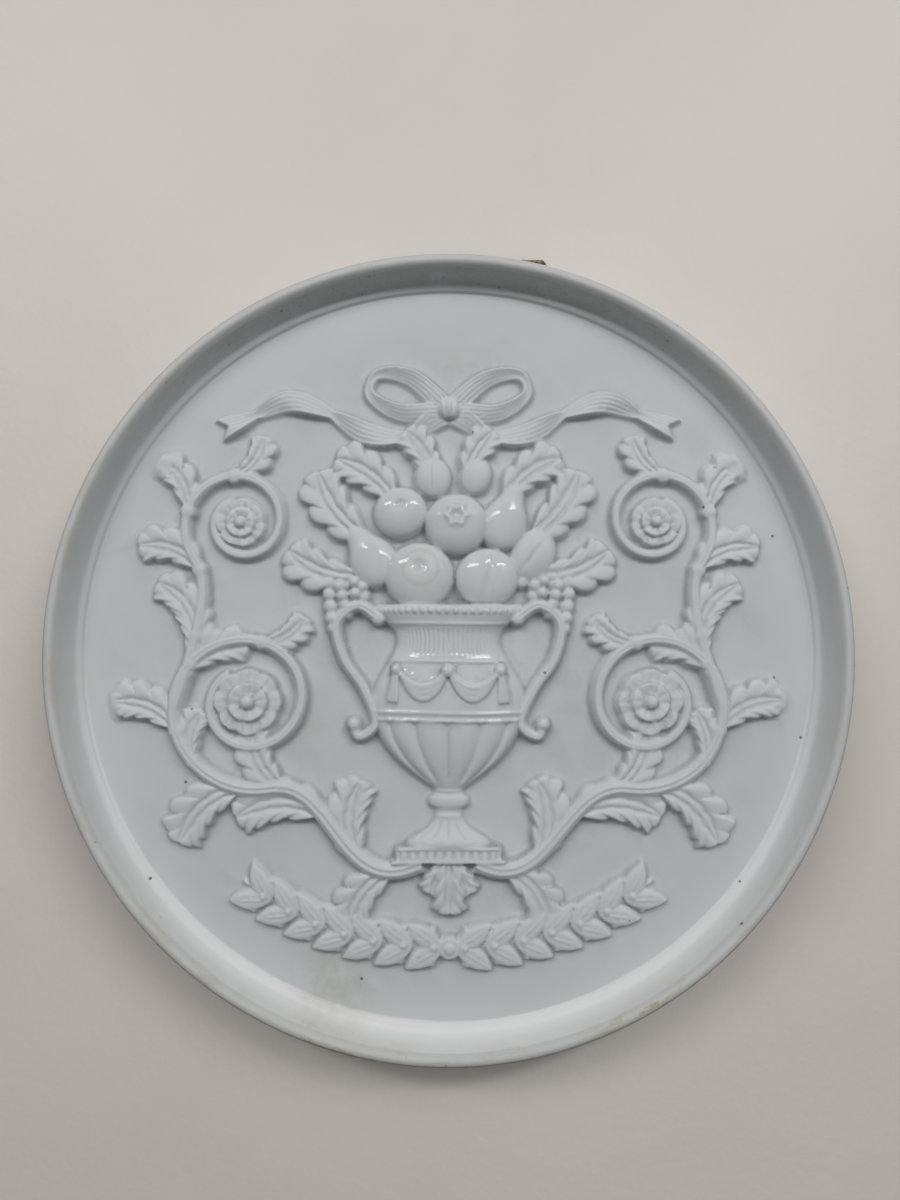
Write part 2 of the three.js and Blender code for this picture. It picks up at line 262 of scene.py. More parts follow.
def smooth_path(points, steps=24):
    """A line that passes through each of the points"""
    knots = [np.asarray(point, float) for point in points]
    knots = [2 * knots[0] - knots[1]] + knots + [2 * knots[-1] - knots[-2]]
    t = np.linspace(0, 1, steps, endpoint=False)[:, None]
    stretches = []
    for a, b, c, d in zip(knots, knots[1:], knots[2:], knots[3:]):
        bend = (2 * a - 5 * b + 4 * c - d) * t ** 2 + (3 * b - a - 3 * c + d) * t ** 3
        stretches.append(0.5 * (2 * b + (c - a) * t + bend))
    stretches.append(knots[-2][None])
    return Path(np.concatenate(stretches))


def spiral(eye, outer, inner, start, turns, steps=300):
    t = np.linspace(0, 1, steps)
    radius = outer * (inner / outer) ** t
    angle = np.radians(start) + math.tau * turns * t
    return np.stack([eye[0] + radius * np.cos(angle), eye[1] + radius * np.sin(angle)], -1)


def volute(root, lean, swing, coil):
    """A stalk from its root that leans out and runs into a coil"""
    way = coil[1] - coil[0]
    way /= np.linalg.norm(way)
    stalk = bezier(root, lean, coil[0] - way * swing, coil[0])
    return Path(np.concatenate([stalk[:-1], coil]))


def free_path(x, y, degrees, bend, reach):
    """A short line that starts at a point and turns by bend on its way"""

    def toward(angle, distance):
        turn = math.radians(angle)
        return x + math.cos(turn) * distance, y + math.sin(turn) * distance

    return Path(bezier((x, y), toward(degrees, reach * 0.55), toward(degrees + bend, reach), steps=40))


def branch_path(stem_path, place, side, reach, lean=16, bend=34):
    """A line that leaves a stem on one side"""
    x, y = stem_path.at(place)
    return free_path(x, y, stem_path.degrees(place) + side * lean, side * bend, reach)


def clamped(value):
    return np.clip(value, 0, 1)


def arch(t):
    """A half circle over t from -1 to 1"""
    return np.sqrt(clamped(1 - t ** 2))


def ridge(t, place, spread):
    """A soft ridge of height 1 that crosses t at a place"""
    return np.exp(-((t - place) / spread) ** 2)


def swell(t, least, start, stretch):
    """A sine from least up to 1, which starts partway and is stretched over t from 0 to 1"""
    return least + (1 - least) * np.sin(np.pi * clamped(start + stretch * t))


# Forms of the ornament, each laid on the sheet


def stem(sheet, path, root, tip, high, low):
    """A fluted stalk that thins from root to tip"""
    s, t = path.samples(max(root, tip))
    width = root + (tip - root) * s
    level = high + (low - high) * s
    flutes = 0.07 * np.cos(3 * np.pi * t) * (1 - t ** 2)
    x, y = path.place(s, t * width)
    sheet.lay(x, y, level * (0.42 + 0.58 * arch(t) - flutes))


def acanthus(sheet, path, width, height, lobes=4, lift=0.0):
    """A lobed leaf: its veins run out and forward, and each ends in a rounded lobe"""
    s, t = path.samples(width * 1.2)
    out = np.abs(t)
    rest = clamped(1 - s)
    spread = width * swell(s, 0.30, 0.16, 0.62) * np.minimum(1, rest * 3.2) ** 0.55
    lobe = np.sin(np.pi * ((s * lobes) % 1.0)) ** 0.5
    notch = 1 - 0.42 * (1 - lobe) * np.minimum(1, 6 * rest)
    x, y = path.place(s, t * spread * notch, 0.85 * spread * out ** 1.25)
    rise = height * swell(s, 0.62, 0.25, 0.75)
    cup = swell(out, 0.70, 0.1, 0.85)
    edge = clamped((1 - out) / 0.16) ** 0.5
    veins = 0.20 * (lobe - 0.55) * clamped(out * 2.2)
    midrib = 0.18 * ridge(out, 0, 0.09) - 0.14 * ridge(out, 0.22, 0.1)
    curled_tip = 0.175 * clamped((s - 0.72) / 0.28) ** 1.5
    leaf = rise * (cup * (0.62 + 0.38 * edge) + veins + midrib)
    sheet.lay(x, y, leaf + height * curled_tip + lift)


def blade(sheet, path, width, height):
    """A plain pointed leaf with a midrib"""
    s, t = path.samples(width)
    out = np.abs(t)
    spread = width * swell(s ** 0.85, 0, 0.06, 0.94) ** 0.9 + 0.08
    x, y = path.place(s, t * spread, 0.25 * spread * out)
    fold = swell(out, 0.66, 0.18, 0.72)
    midrib = 0.22 * ridge(out, 0, 0.12)
    veins = 0.02 * np.cos(math.tau * 5 * (s - 0.25 * out)) * out * (1 - out) * 4
    rise = height * swell(s, 0.60, 0.2, 0.7)
    sheet.lay(x, y, rise * (fold + midrib + veins))


def dome(sheet, x, y, across, along, height, base=0.0, turn=0.0, skin=None):
    """A rounded fruit, bead or button, with an optional skin of its own"""
    count = int(2.6 * max(across, along) / CELL)
    u, v = np.meshgrid(np.linspace(-1, 1, count), np.linspace(-1, 1, count))
    inside = u ** 2 + v ** 2 <= 1
    u, v = u[inside], v[inside]
    level = base + (height - base) * arch(np.hypot(u, v)) ** 0.9
    if skin:
        level = level + skin(u, v)
    c, s = math.cos(math.radians(turn)), math.sin(math.radians(turn))
    sheet.lay(x + across * u * c - along * v * s, y + across * u * s + along * v * c, level)


def turned(sheet, path, outline, height, base):
    """A form turned on the path as its axis: outline gives its half width for s from 0 to 1"""
    widest = float(np.max(outline(np.linspace(0, 1, 60))))
    s, t = path.samples(widest)
    width = outline(s)
    x, y = path.place(s, t * width)
    sheet.lay(x, y, base + (height - base) * (width / widest) ** 0.6 * arch(t) ** 0.9)


def ribbon(sheet, path, width, height, twists, fork=0.0):
    """A band that turns over: where it turns it looks narrow and its face leans"""
    s, t = path.samples(width)
    turn = twists * np.pi * s
    seen = width * (0.38 + 0.62 * np.abs(np.cos(turn)))
    x, y = path.place(s, t * seen)
    lean = 0.38 * np.sin(2 * turn) * t
    creases = 0.06 * np.cos(5 * np.pi * t)
    crown = 0.22 * np.cos(2 * turn) * (1 - t ** 2)
    ends = clamped(np.minimum(s, 1 - s) * 14) ** 0.5
    level = height * (0.78 + lean + creases + crown) * (0.6 + 0.4 * ends)
    sheet.lay(x, y, np.where(s > 1 - fork * (1 - np.abs(t)), 0, level))


def rosette(sheet, x, y, radius, petals, height):
    """A ring of rounded petals with a furrow in each, a smaller ring inside it and a button"""
    rings = ((1.0, petals, 0.74, 0.0), (0.58, 5, 0.98, 0.4))
    for reach, count, rise, shift in rings:
        out = radius * reach
        half_petal = out * 1.02 * math.sin(math.pi / count)
        for petal in range(count):
            angle = math.tau * (petal + shift) / count
            tip = (x + out * math.cos(angle), y + out * math.sin(angle))
            path = Path(bezier((x, y), tip, steps=12))
            s, t = path.samples(out * 0.5)
            spread = half_petal * swell(s ** 1.4, 0, 0, 0.7)
            petal_x, petal_y = path.place(s * (1 - 0.1 * t ** 2), t * (spread + 0.05))
            furrow = 0.16 * ridge(t, 0, 0.16) * (1 - s) ** 0.5
            cupped = 0.62 + 0.38 * arch(t) ** 0.8 - furrow
            sheet.lay(petal_x, petal_y, height * rise * cupped * (0.66 + 0.34 * s))
    dome(sheet, x, y, radius * 0.22, radius * 0.22, height * 1.2, height * 0.75)


# Skins of the fruit, added to a dome where u and v run from -1 to 1


def apple_skin(u, v):
    from_stalk = u ** 2 + (v - 0.30) ** 2
    return 0.30 * np.exp(-from_stalk / 0.0022) - 0.55 * np.exp(-from_stalk / 0.035)


def pomegranate_skin(u, v):
    distance = np.hypot(u, v - 0.25)
    points = np.cos(6 * np.arctan2(v - 0.25, u))
    crown = 0.34 * ridge(distance, 0.26 + 0.06 * points, 0.09)
    return crown - 0.30 * ridge(distance, 0, 0.16) + 0.05 * points * distance


def plum_skin(u, v):
    return -0.22 * ridge(u, 0.18 * v, 0.10) * (1 - v ** 2)


def pear_outline(widest):
    """The outline of a pear that lies along a path, as turned takes it"""

    def outline(s):
        body = 2 * np.sqrt(clamped(s * (1 - s))) * (1.15 - 0.62 * s)
        return widest * 1.07 * body * (1 - 0.16 * ridge(s, 0.74, 0.13))

    return outline


# The composition

MAIN_EYE = (36.5, -9.0)
UPPER_EYE = (38.0, 24.0)

# Each leaf of a scroll: its place along the stalk, side, reach and width
MAIN_LEAVES = (
    (0.04, -1, 13, 4), (0.09, 1, 14, 4), (0.17, -1, 16, 4.6), (0.24, 1, 12, 3.6), (0.30, -1, 15, 4.4),
    (0.43, -1, 13, 3.8), (0.53, -1, 12, 3.4), (0.64, -1, 9, 2.8), (0.38, 1, 9, 2.8),
)
UPPER_LEAVES = (
    (0.08, 1, 12, 3.6), (0.16, -1, 12, 3.6), (0.30, -1, 12, 3.6), (0.43, -1, 11, 3.2),
    (0.56, -1, 9, 2.8),
)

# Each leaf of the fruit: x and y of its root, heading, bend, reach and width
FRUIT_LEAVES = (
    (16, 14, -6, 26, 14, 4.2), (15, 21, 32, 22, 15, 4.4), (10, 28, 56, -20, 13, 4),
    (3, 32, 74, -14, 10, 3.2),
)


def draw_scrolls(side):
    """The two leafy volutes of one side, each coiled round a rosette"""
    main_coil = spiral(MAIN_EYE, outer=16, inner=6.2, start=-105, turns=1.45)
    main = volute(root=(5, -38), lean=(19, -45), swing=12, coil=main_coil)
    fork = main.at(0.46)
    upper_coil = spiral(UPPER_EYE, outer=11, inner=4.4, start=-40, turns=1.3)
    upper = volute(root=fork, lean=(fork[0] - 3, fork[1] + 10), swing=7, coil=upper_coil)
    stem(side, main, root=1.7, tip=0.9, high=2.1, low=1.5)
    stem(side, upper, root=1.3, tip=0.8, high=1.8, low=1.3)
    for leaves, path, height, lobes in ((MAIN_LEAVES, main, 1.5, 5), (UPPER_LEAVES, upper, 1.4, 4)):
        for place, turn, reach, width in leaves:
            acanthus(side, branch_path(path, place, turn, reach), width, height, lobes)
            x, y = path.at(place)
            dome(side, x, y, 1.5, 1.5, height * 1.25, height * 0.7)
    rosette(side, *MAIN_EYE, radius=6.0, petals=8, height=2.3)
    rosette(side, *UPPER_EYE, radius=4.5, petals=7, height=2.0)


def draw_fruit(side, middle):
    """The heap of fruit in the urn and its leaves"""
    for x, y, degrees, bend, reach, width in FRUIT_LEAVES:
        acanthus(side, free_path(x, y, degrees, bend, reach), width, 1.6)
    # Each fruit: x, y, half widths across and along, share of the full level, turn and skin
    fruits = (
        (-5.4, 14, 6.4, 6, 1, 0, apple_skin), (7, 13.6, 5.8, 5.4, 0.9, 0, plum_skin),
        (15.4, 17.8, 4, 5, 0.72, -30, plum_skin), (1.4, 23.4, 5.8, 5.6, 0.98, 0, pomegranate_skin),
        (-8.8, 25.6, 4.9, 4.7, 0.84, 0, apple_skin), (-3, 32, 3.4, 3.8, 0.66, 10, plum_skin),
        (4.8, 32.4, 3, 3.6, 0.6, -12, None),
    )
    for x, y, across, along, rise, turn, skin in fruits:
        dome(middle, x, y, across, along, FULL * rise, FULL * rise * 0.34, turn, skin)
    # Each pear: x and y of its base, heading, reach, half width and share of the full level
    pears = ((-11.2, 12.6, 122, 12.6, 4.6, 0.78), (8.6, 18.8, 72, 12.8, 4.5, 0.8))
    for x, y, degrees, reach, width, rise in pears:
        axis = free_path(x, y, degrees, 0, reach)
        turned(middle, axis, pear_outline(width), FULL * rise, FULL * rise * 0.3)
        tip = axis.at(0.97)
        stalk = free_path(tip[0], tip[1], degrees - 14, 20, 2.6)
        stem(middle, stalk, root=0.42, tip=0.5, high=1.5, low=1.3)


def draw_grapes(side):
    """The grapes that hang over the urn's lip, in uneven rows that lose a berry each"""
    rows = 5
    for row in range(rows):
        for berry in range(rows - row):
            shift = (berry - (rows - 1 - row) / 2) * 2.1
            stray = berry * 2.3 + row * 1.7
            x = 17.6 + shift + row * 0.8 + 0.35 * math.sin(stray)
            y = 12.6 - row * 1.95 + 0.4 * math.cos(stray * 1.3)
            rise = 2.45 - 0.16 * row - 0.045 * shift ** 2 + 0.12 * math.sin(stray * 2.1)
            size = 1.3 + 0.1 * math.cos(stray * 0.7)
            dome(side, x, y, size, size, rise, rise * 0.4)


def draw_handle(side):
    """One handle of the urn, with a button at each end"""
    handle = smooth_path((
        (12.4, 6.2), (16.6, 8.6), (20.4, 5.4), (19.2, -1), (15.6, -6.4), (13.2, -12.6), (16.2, -15.2),
        (17.4, -12.6)))
    stem(side, handle, root=1.25, tip=0.9, high=2.1, low=1.7)
    dome(side, 17.2, -12.9, 1.3, 1.3, 2.1, 0.9)
    dome(side, 12.7, 6.3, 1.35, 1.35, 2.2, 1.4)


def draw_ribbon(side, middle):
    """The bow over the fruit, with a long forked tail on each side"""
    loop = smooth_path(((1, 45.6), (7, 50.6), (13, 51.4), (14.4, 47.6), (9, 44.2), (1.4, 44.4)))
    tail = smooth_path((
        (1, 44), (8, 40), (15, 40.4), (22, 44.2), (29, 46.2), (36, 43.6), (42.5, 41)))
    ribbon(side, loop, width=1.9, height=1.5, twists=1)
    ribbon(side, tail, width=2.1, height=1.3, twists=3, fork=0.045)
    dome(middle, 0, 45, 2.3, 2.1, 2.1, 0.9,
         skin=lambda u, v: 0.16 * np.cos(4 * np.pi * u) * (1 - v ** 2))


def draw_swag(side, middle):
    """The laurel swag under the urn, with berries between its pairs of leaves"""
    swag = Path(bezier((0, -53), (22, -52.8), (37, -41)))
    stem(side, swag, root=0.55, tip=0.4, high=0.9, low=0.8)
    pairs = 7
    for pair in range(pairs):
        place = 0.03 + 0.95 * pair / pairs
        x, y = swag.at(place)
        way = swag.heading(place)
        degrees = swag.degrees(place)
        for turn in (-1, 1):
            leaf = free_path(x, y, degrees + turn * 26, turn * 6, 7.6)
            blade(side, leaf, width=1.8, height=1.5)
            berry = free_path(x, y, degrees + turn * 58, 0, 3.5).at(1)
            dome(side, berry[0], berry[1], 0.72, 0.72, 1.25, 0.5)
        dome(side, x + 1.6 * way[0], y + 1.6 * way[1], 0.85, 0.85, 1.8, 0.8)
    dome(middle, 0, -53, 2.2, 2.2, 1.9, 0.8,
         skin=lambda u, v: -0.25 * ridge(np.hypot(u, v), 0.55, 0.12))


def urn_half_width(level):
    """The urn's outline: its half width at each height on the sheet"""
    knots = np.array([
        [7.4, -35], [7.2, -33.8], [3.6, -31.4], [2.3, -28.8], [3.5, -27.6], [3.6, -26.4], [2.5, -25],
        [4.8, -23.2], [9.2, -19.6], [12.5, -15.2], [13.8, -10.6], [13.3, -6], [11, -1.8], [9.5, 1.4],
        [9.9, 4.2], [12.7, 6.5], [13.6, 7.6], [13.2, 8.8]])
    outline = smooth_path(knots)
    order = np.argsort(outline.points[:, 1])
    return np.interp(level, outline.points[order, 1], outline.points[order, 0])


def rounded(across):
    """How full the urn's round side is, from a quarter at its edges to 1 in the middle"""
    return 0.25 + 0.75 * arch(across)


def draw_urn(middle):
    """The urn, with gadroons below, a fluted neck and mouldings between"""
    levels = np.arange(-35, 8.8, CELL * 0.45)
    level, t = np.meshgrid(levels, np.linspace(-1, 1, 640), indexing="ij")
    width = urn_half_width(level)
    turn = np.arcsin(np.clip(t, -1, 1))
    waves = np.abs(np.sin(turn * 7))
    furrows = 1 - waves ** 0.6
    tongues = clamped((-12.6 + 1.5 * waves ** 0.5 - level) / 0.7) * clamped((level + 24.2) / 2)
    foot = clamped((level + 34.2) / 0.8) * clamped((-30 - level) / 1.5)
    neck = clamped((level + 0.4) / 0.5) * clamped((4.6 - level) / 0.5)
    rise = FULL * (width / 13.8) ** 0.6 * rounded(t)
    rise = rise - 0.50 * furrows * tongues - 0.30 * furrows * foot
    rise = rise - 0.22 * np.cos(turn * 34) ** 2 * neck
    mouldings = ((-12.0, 0.28), (-10.6, 0.22), (-1.3, 0.26), (5.4, 0.22), (-25.0, 0.2), (-29.6, 0.2))
    for band, size in mouldings:
        rise = rise + size * ridge(level, band, 0.26)
    middle.lay(t * width, level, rise)


def draw_beaded_lip(middle):
    """The row of beads round the urn's lip, closer and narrower towards its sides"""
    beads = 27
    for bead in range(beads):
        angle = (bead + 0.5) / beads * math.pi - math.pi / 2
        rise = FULL * rounded(math.sin(angle)) + 0.35
        half = max(0.62 * math.cos(angle), 0.25)
        dome(middle, 13.1 * math.sin(angle), 7.7, half, 0.62, rise, rise - 0.55)


def draw_festoons(middle):
    """The cloth round the urn's shoulder: three folds between knots, and a tail at each end"""
    shoulder = 13.4
    knot = 9.4
    for side in (-1, 1):
        for fold in range(3):
            drop = 3.4 + 1.15 * fold
            edge = knot - 0.25 * fold
            festoon = Path(bezier(
                (0.2 * side, -3.0 - 0.1 * fold), (side * edge * 0.5, -3.2 - drop * 1.7),
                (side * edge, -2.8 - 0.1 * fold)))
            s, t = festoon.samples(0.7)
            x, y = festoon.place(s, t * (0.34 + 0.30 * np.sin(np.pi * s)))
            under = FULL * rounded(x / shoulder) * 0.97
            middle.lay(x, y, under + 0.18 + (0.34 - 0.03 * fold) * arch(t))
        top = FULL * rounded(knot / shoulder) + 0.75
        dome(middle, side * knot, -2.9, 1.0, 1.0, top, top - 0.8)
        tail = free_path(side * 9.5, -3.2, -90 + side * 6, 0, 5.6)
        s, t = tail.samples(1.1)
        x, y = tail.place(s, t * (0.5 + 0.55 * s))
        middle.lay(x, y, FULL * rounded(x / 13.9) + 0.30 + 0.16 * np.cos(3 * np.pi * t) * s)
    dome(middle, 0, -3.0, 1.15, 1.15, FULL + 0.75, FULL)


def lay_block(sheet, left, right, low, high, level):
    """A flat block with square sides"""
    step = CELL / 2
    x, y = np.meshgrid(np.arange(left, right, step), np.arange(low, high, step))
    sheet.lay(x, y, level)


def draw_foot(middle):
    """The plinth under the urn, its row of dentils and the palmette that hangs from it"""
    # Each slab: its bottom, top, half width and level
    slabs = ((-38, -35, 9.5, 1.9), (-38, -37.2, 10.2, 2.2), (-35.6, -34.9, 9.0, 2.2))
    for low, high, half, level in slabs:
        lay_block(middle, -half, half, low, high, level)
    for dentil in range(-5, 6):
        x = dentil * 1.6
        lay_block(middle, x - 0.42, x + 0.42, -37.2, -35.9, 2.15)
    leaves = ((-62, 7.5, 2.6, 0), (-118, 7.5, 2.6, 0), (-90, 10, 3.2, 0.25))
    for degrees, reach, width, lift in leaves:
        acanthus(middle, free_path(0, -37, degrees, 0, reach), width, 1.6, 4, lift)


def blurred(heights, spread):
    """A Gaussian blur, its spread in sheet units"""
    reach = int(3 * spread / CELL) + 1
    weights = np.exp(-0.5 * (np.arange(-reach, reach + 1) * CELL / spread) ** 2)
    weights /= weights.sum()
    for axis in (0, 1):
        heights = sum(part * np.roll(heights, step - reach, axis) for step, part in enumerate(weights))
    return heights


def relief_sheet(sizes):
    """The whole relief as shares of its height, soft as a cast is and filleted to the field"""
    side = Sheet()
    middle = Sheet()
    for draw in (draw_scrolls, draw_handle, draw_grapes):
        draw(side)
    for draw in (draw_ribbon, draw_swag, draw_fruit):
        draw(side, middle)
    for draw in (draw_urn, draw_beaded_lip, draw_festoons, draw_foot):
        draw(middle)
    side.mirror()
    side.join(middle)
    crisp = blurred(side.heights, sizes.softness)
    soft = blurred(side.heights, sizes.fillet)
    return np.maximum(crisp, soft * clamped(1.6 - crisp)) / FULL


def read_sheet(raster, x, y):
    """The raster's values at places between its cells"""
    column = np.clip((x + SHEET_HALF) / CELL, 0, SHEET_SIZE - 1.001)
    row = np.clip((y + SHEET_HALF) / CELL, 0, SHEET_SIZE - 1.001)
    left = column.astype(int)
    low = row.astype(int)
    across = column - left
    up = row - low
    bottom = raster[low, left] * (1 - across) + raster[low, left + 1] * across
    top = raster[low + 1, left] * (1 - across) + raster[low + 1, left + 1] * across
    return bottom * (1 - up) + top * up


# Modelling helpers


def clear_selection():
    if bpy.context.object and bpy.context.object.mode != "OBJECT":
        bpy.ops.object.mode_set(mode="OBJECT")
    bpy.ops.object.select_all(action="DESELECT")


def make_active(piece):
    clear_selection()
    piece.select_set(True)
    bpy.context.view_layer.objects.active = piece


def finish_facing_outwards():
    """Turns the faces of the piece in edit mode outwards, and leaves edit mode"""
    bpy.ops.mesh.select_all(action="SELECT")
    bpy.ops.mesh.normals_make_consistent(inside=False)
    bpy.ops.object.mode_set(mode="OBJECT")


def vertex_places(mesh):
    places = np.empty(len(mesh.vertices) * 3)
    mesh.vertices.foreach_get("co", places)
    return places.reshape(-1, 3)


def move_vertices(mesh, places):
    mesh.vertices.foreach_set("co", np.ascontiguousarray(places, np.float32).ravel())
    mesh.update()


def select_faces(mesh, chosen):
    """Selects these faces in an object-mode mesh and nothing else"""
    mesh.vertices.foreach_set("select", np.zeros(len(mesh.vertices), bool))
    mesh.edges.foreach_set("select", np.zeros(len(mesh.edges), bool))
    mesh.polygons.foreach_set("select", np.asarray(chosen, bool))


def face_centres(mesh):
    centres = np.empty(len(mesh.polygons) * 3)
    mesh.polygons.foreach_get("center", centres)
    return centres.reshape(-1, 3)


def quadratic(start, control, end, steps):
    """Points after start on a curve with one control point"""
    t = np.linspace(0, 1, steps + 1)[1:, None]
    start, control, end = np.array(start), np.array(control), np.array(end)
    return [tuple(p) for p in (1 - t) ** 2 * start + 2 * t * (1 - t) * control + t ** 2 * end]


def give_material(piece, material):
    piece.data.materials.clear()
    piece.data.materials.append(material)


def give_attribute(mesh, name, values):
    attribute = mesh.attributes.new(name, "FLOAT", "POINT")
    attribute.data.foreach_set("value", np.ascontiguousarray(values, np.float32))


# The casting


def rim_section(sizes):
    """Radius and depth of each ring from the field's edge over the rim to the back"""
    field_front = FRONT + sizes.rim_rise
    field_back = BACK - sizes.foot_height
    field_radius = RADIUS - sizes.rim_width
    groove = 0.5 * sizes.step
    lip = RADIUS - sizes.lip_width
    step_top = field_front - sizes.step
    ledge = (lip - 1.35 * MM, step_top - 0.07 * MM)
    cove_pull = (lip - 0.75 * MM, field_front - 1.2 * MM)
    cove_top = (lip - 0.15 * MM, FRONT + sizes.lip_width * 0.65)
    crown = (RADIUS - sizes.lip_width * 0.56, FRONT)
    outside = (RADIUS, FRONT + sizes.lip_width)
    side = (RADIUS, FRONT + sizes.side_height)
    side_pull = (RADIUS, FRONT + sizes.side_pull)
    back_edge = (RADIUS - sizes.side_round, field_back)
    rings = [
        (field_radius - 1.0 * MM, field_front),
        (field_radius - 0.7 * MM, field_front + groove * 0.25),
        (field_radius - 0.4 * MM, field_front + groove * 0.75),
        (field_radius - 0.1 * MM, field_front + groove),
        (field_radius + 0.05 * MM, field_front + groove * 0.7),
        (field_radius + 0.2 * MM, field_front - sizes.step * 0.7),
        (field_radius + 0.35 * MM, step_top),
        (lip - 1.85 * MM, step_top - 0.02 * MM),
        ledge,
    ]
    rings += quadratic(ledge, cove_pull, cove_top, 10)
    rings += quadratic(cove_top, (lip + 0.3 * MM, FRONT), crown, 8)
    rings += quadratic(crown, (RADIUS, FRONT), outside, 7)
    rings.append(side)
    rings += quadratic(side, side_pull, back_edge, 8)
    return rings


def foot_section(sizes):
    """Radius and depth of each ring over the foot ring and across the recess behind it"""
    field_back = BACK - sizes.foot_height
    outer = RADIUS - sizes.foot_inset
    inner = outer - sizes.foot_width
    draft = sizes.foot_draft
    rounding = 0.3 * MM
    side = [
        (draft + rounding, field_back),
        (draft, field_back + rounding * 0.4),
        (draft * 0.9, field_back + rounding * 1.2),
        (draft * 0.8, field_back + rounding * 2.6),
        (draft * 0.1, BACK - rounding * 2.4),
        (0, BACK - rounding),
        (-rounding * 0.35, BACK - rounding * 0.35),
        (-rounding, BACK),
    ]
    rings = [(outer + out, depth) for out, depth in side]
    rings += [(inner - out, depth) for out, depth in reversed(side)]
    rings += [(inner * 0.66, field_back), (inner * 0.3, field_back)]
    return rings


def mould_disc(sizes):
    """The field: a grid whose square outline is pushed out into a circle"""
    rim_margin = 1.2 * MM
    field_radius = RADIUS - sizes.rim_width - rim_margin
    cells = int(round(2 * field_radius / sizes.cell))
    clear_selection()
    bpy.ops.mesh.primitive_grid_add(
        x_subdivisions=cells, y_subdivisions=cells, size=2, location=(0, 0, 0))
    piece = bpy.context.object
    piece.name = "plaque_body"
    u, v, _ = vertex_places(piece.data).T
    x = u * np.sqrt(1 - v ** 2 / 2) * field_radius
    z = v * np.sqrt(1 - u ** 2 / 2) * field_radius
    y = np.full_like(x, FRONT + sizes.rim_rise)
    move_vertices(piece.data, np.stack([x + CENTRE.x, y, z + CENTRE.z], -1))
    return piece, field_radius


def grow_rim(piece, start, rings):
    """Extrudes the field's edge over the rim, round the back and across it to the middle"""
    make_active(piece)
    bpy.ops.object.mode_set(mode="EDIT")
    bpy.ops.mesh.select_all(action="SELECT")
    bpy.ops.mesh.region_to_loop()
    radius, depth = start
    for next_radius, next_depth in rings:
        bpy.ops.mesh.extrude_region_move(
            TRANSFORM_OT_translate={"value": (0, next_depth - depth, 0)})
        ratio = next_radius / radius
        bpy.ops.transform.resize(
            value=(ratio, 1, ratio), center_override=(CENTRE.x, next_depth, CENTRE.z))
        radius, depth = next_radius, next_depth
    bpy.ops.mesh.extrude_region_move()
    bpy.ops.mesh.merge(type="CENTER")
    finish_facing_outwards()


def drill_holes(piece, sizes):
    """Two holes through the foot ring, for the cord that it hangs by"""
    ring = RADIUS - sizes.foot_inset - sizes.foot_width / 2
    depth = BACK - sizes.foot_height / 2
    for side in (-1, 1):
        angle = side * sizes.hole_angle
        clear_selection()
        bpy.ops.mesh.primitive_cylinder_add(
            vertices=40, radius=sizes.hole_diameter / 2, depth=sizes.foot_width * 2.4,
            location=(CENTRE.x + ring * math.sin(angle), depth, CENTRE.z + ring * math.cos(angle)),
            rotation=(0, angle, 0))
        drill = bpy.context.object
        make_active(piece)
        cut = piece.modifiers.new("Cord hole", "BOOLEAN")
        cut.operation = "DIFFERENCE"
        cut.solver = "EXACT"
        cut.object = drill
        bpy.ops.object.modifier_apply(modifier=cut.name)
        bpy.data.objects.remove(drill)


def sheet_places(places):
    """Places on the sheet, in its units, for vertices of the casting"""
    scale = ORNAMENT_RADIUS / ((RADIUS - settings().body.rim_width - settings().relief.margin) / MM)
    return (places[:, 0] - CENTRE.x) / MM * scale, (places[:, 2] - CENTRE.z) / MM * scale


def under_ornament(raster, x, y):
    """Whether places on the sheet lie under the ornament or just beside it"""
    beside = 0.9
    least = 0.006
    reach = int(beside / CELL)
    steps = (-reach, 0, reach)
    shifted = [np.roll(raster, (down, along), (0, 1)) for down in steps for along in steps]
    near = read_sheet(np.maximum.reduce(shifted), x, y)
    return (near > least) & (np.hypot(x, y) < ORNAMENT_RADIUS + 1)


def refine_under_ornament(piece, raster):
    """Cuts the faces under the ornament finely, and leaves the bare field coarse"""
    mesh = piece.data
    centres = face_centres(mesh)
    flat = np.abs(centres[:, 1] - (FRONT + settings().body.rim_rise)) < ON_PLANE
    select_faces(mesh, under_ornament(raster, *sheet_places(centres)) & flat)
    make_active(piece)
    bpy.ops.object.mode_set(mode="EDIT")
    bpy.ops.mesh.select_mode(type="FACE")
    bpy.ops.mesh.subdivide(number_cuts=4)
    bpy.ops.mesh.quads_convert_to_tris(quad_method="SHORTEST_DIAGONAL")
    bpy.ops.object.mode_set(mode="OBJECT")


def raise_relief(piece, raster):
    """Moves the field's vertices out by the relief's height, with small hand-made wanderings"""
    sizes = settings().relief
    mesh = piece.data
    places = vertex_places(mesh)
    x, y = sheet_places(places)
    front = np.abs(places[:, 1] - (FRONT + settings().body.rim_rise)) < ON_PLANE
    field = front & (np.hypot(x, y) < ORNAMENT_RADIUS + 6)
    drift_x = np.sin(x * 0.11 + 1.3) * np.cos(y * 0.07 + 0.4) + 0.3 * np.sin(y * 0.31)
    drift_y = np.cos(x * 0.08 - 0.7) * np.sin(y * 0.10 + 2.1) + 0.3 * np.sin(x * 0.27)
    height = sizes.height * read_sheet(raster, x + sizes.wander * drift_x, y + sizes.wander * drift_y)
    waves = np.sin(x * 0.21 + 0.6 * np.sin(y * 0.13)) + np.sin(y * 0.26 + 1.7 * np.sin(x * 0.09))
    waves = (waves + 0.6 * np.sin((x + y) * 0.47 + 2.0)) / 2.6
    fade = clamped((ORNAMENT_RADIUS + 5 - np.hypot(x, y)) / 6)
    places[field, 1] -= (height + waves * sizes.unevenness * fade)[field]
    move_vertices(mesh, places)


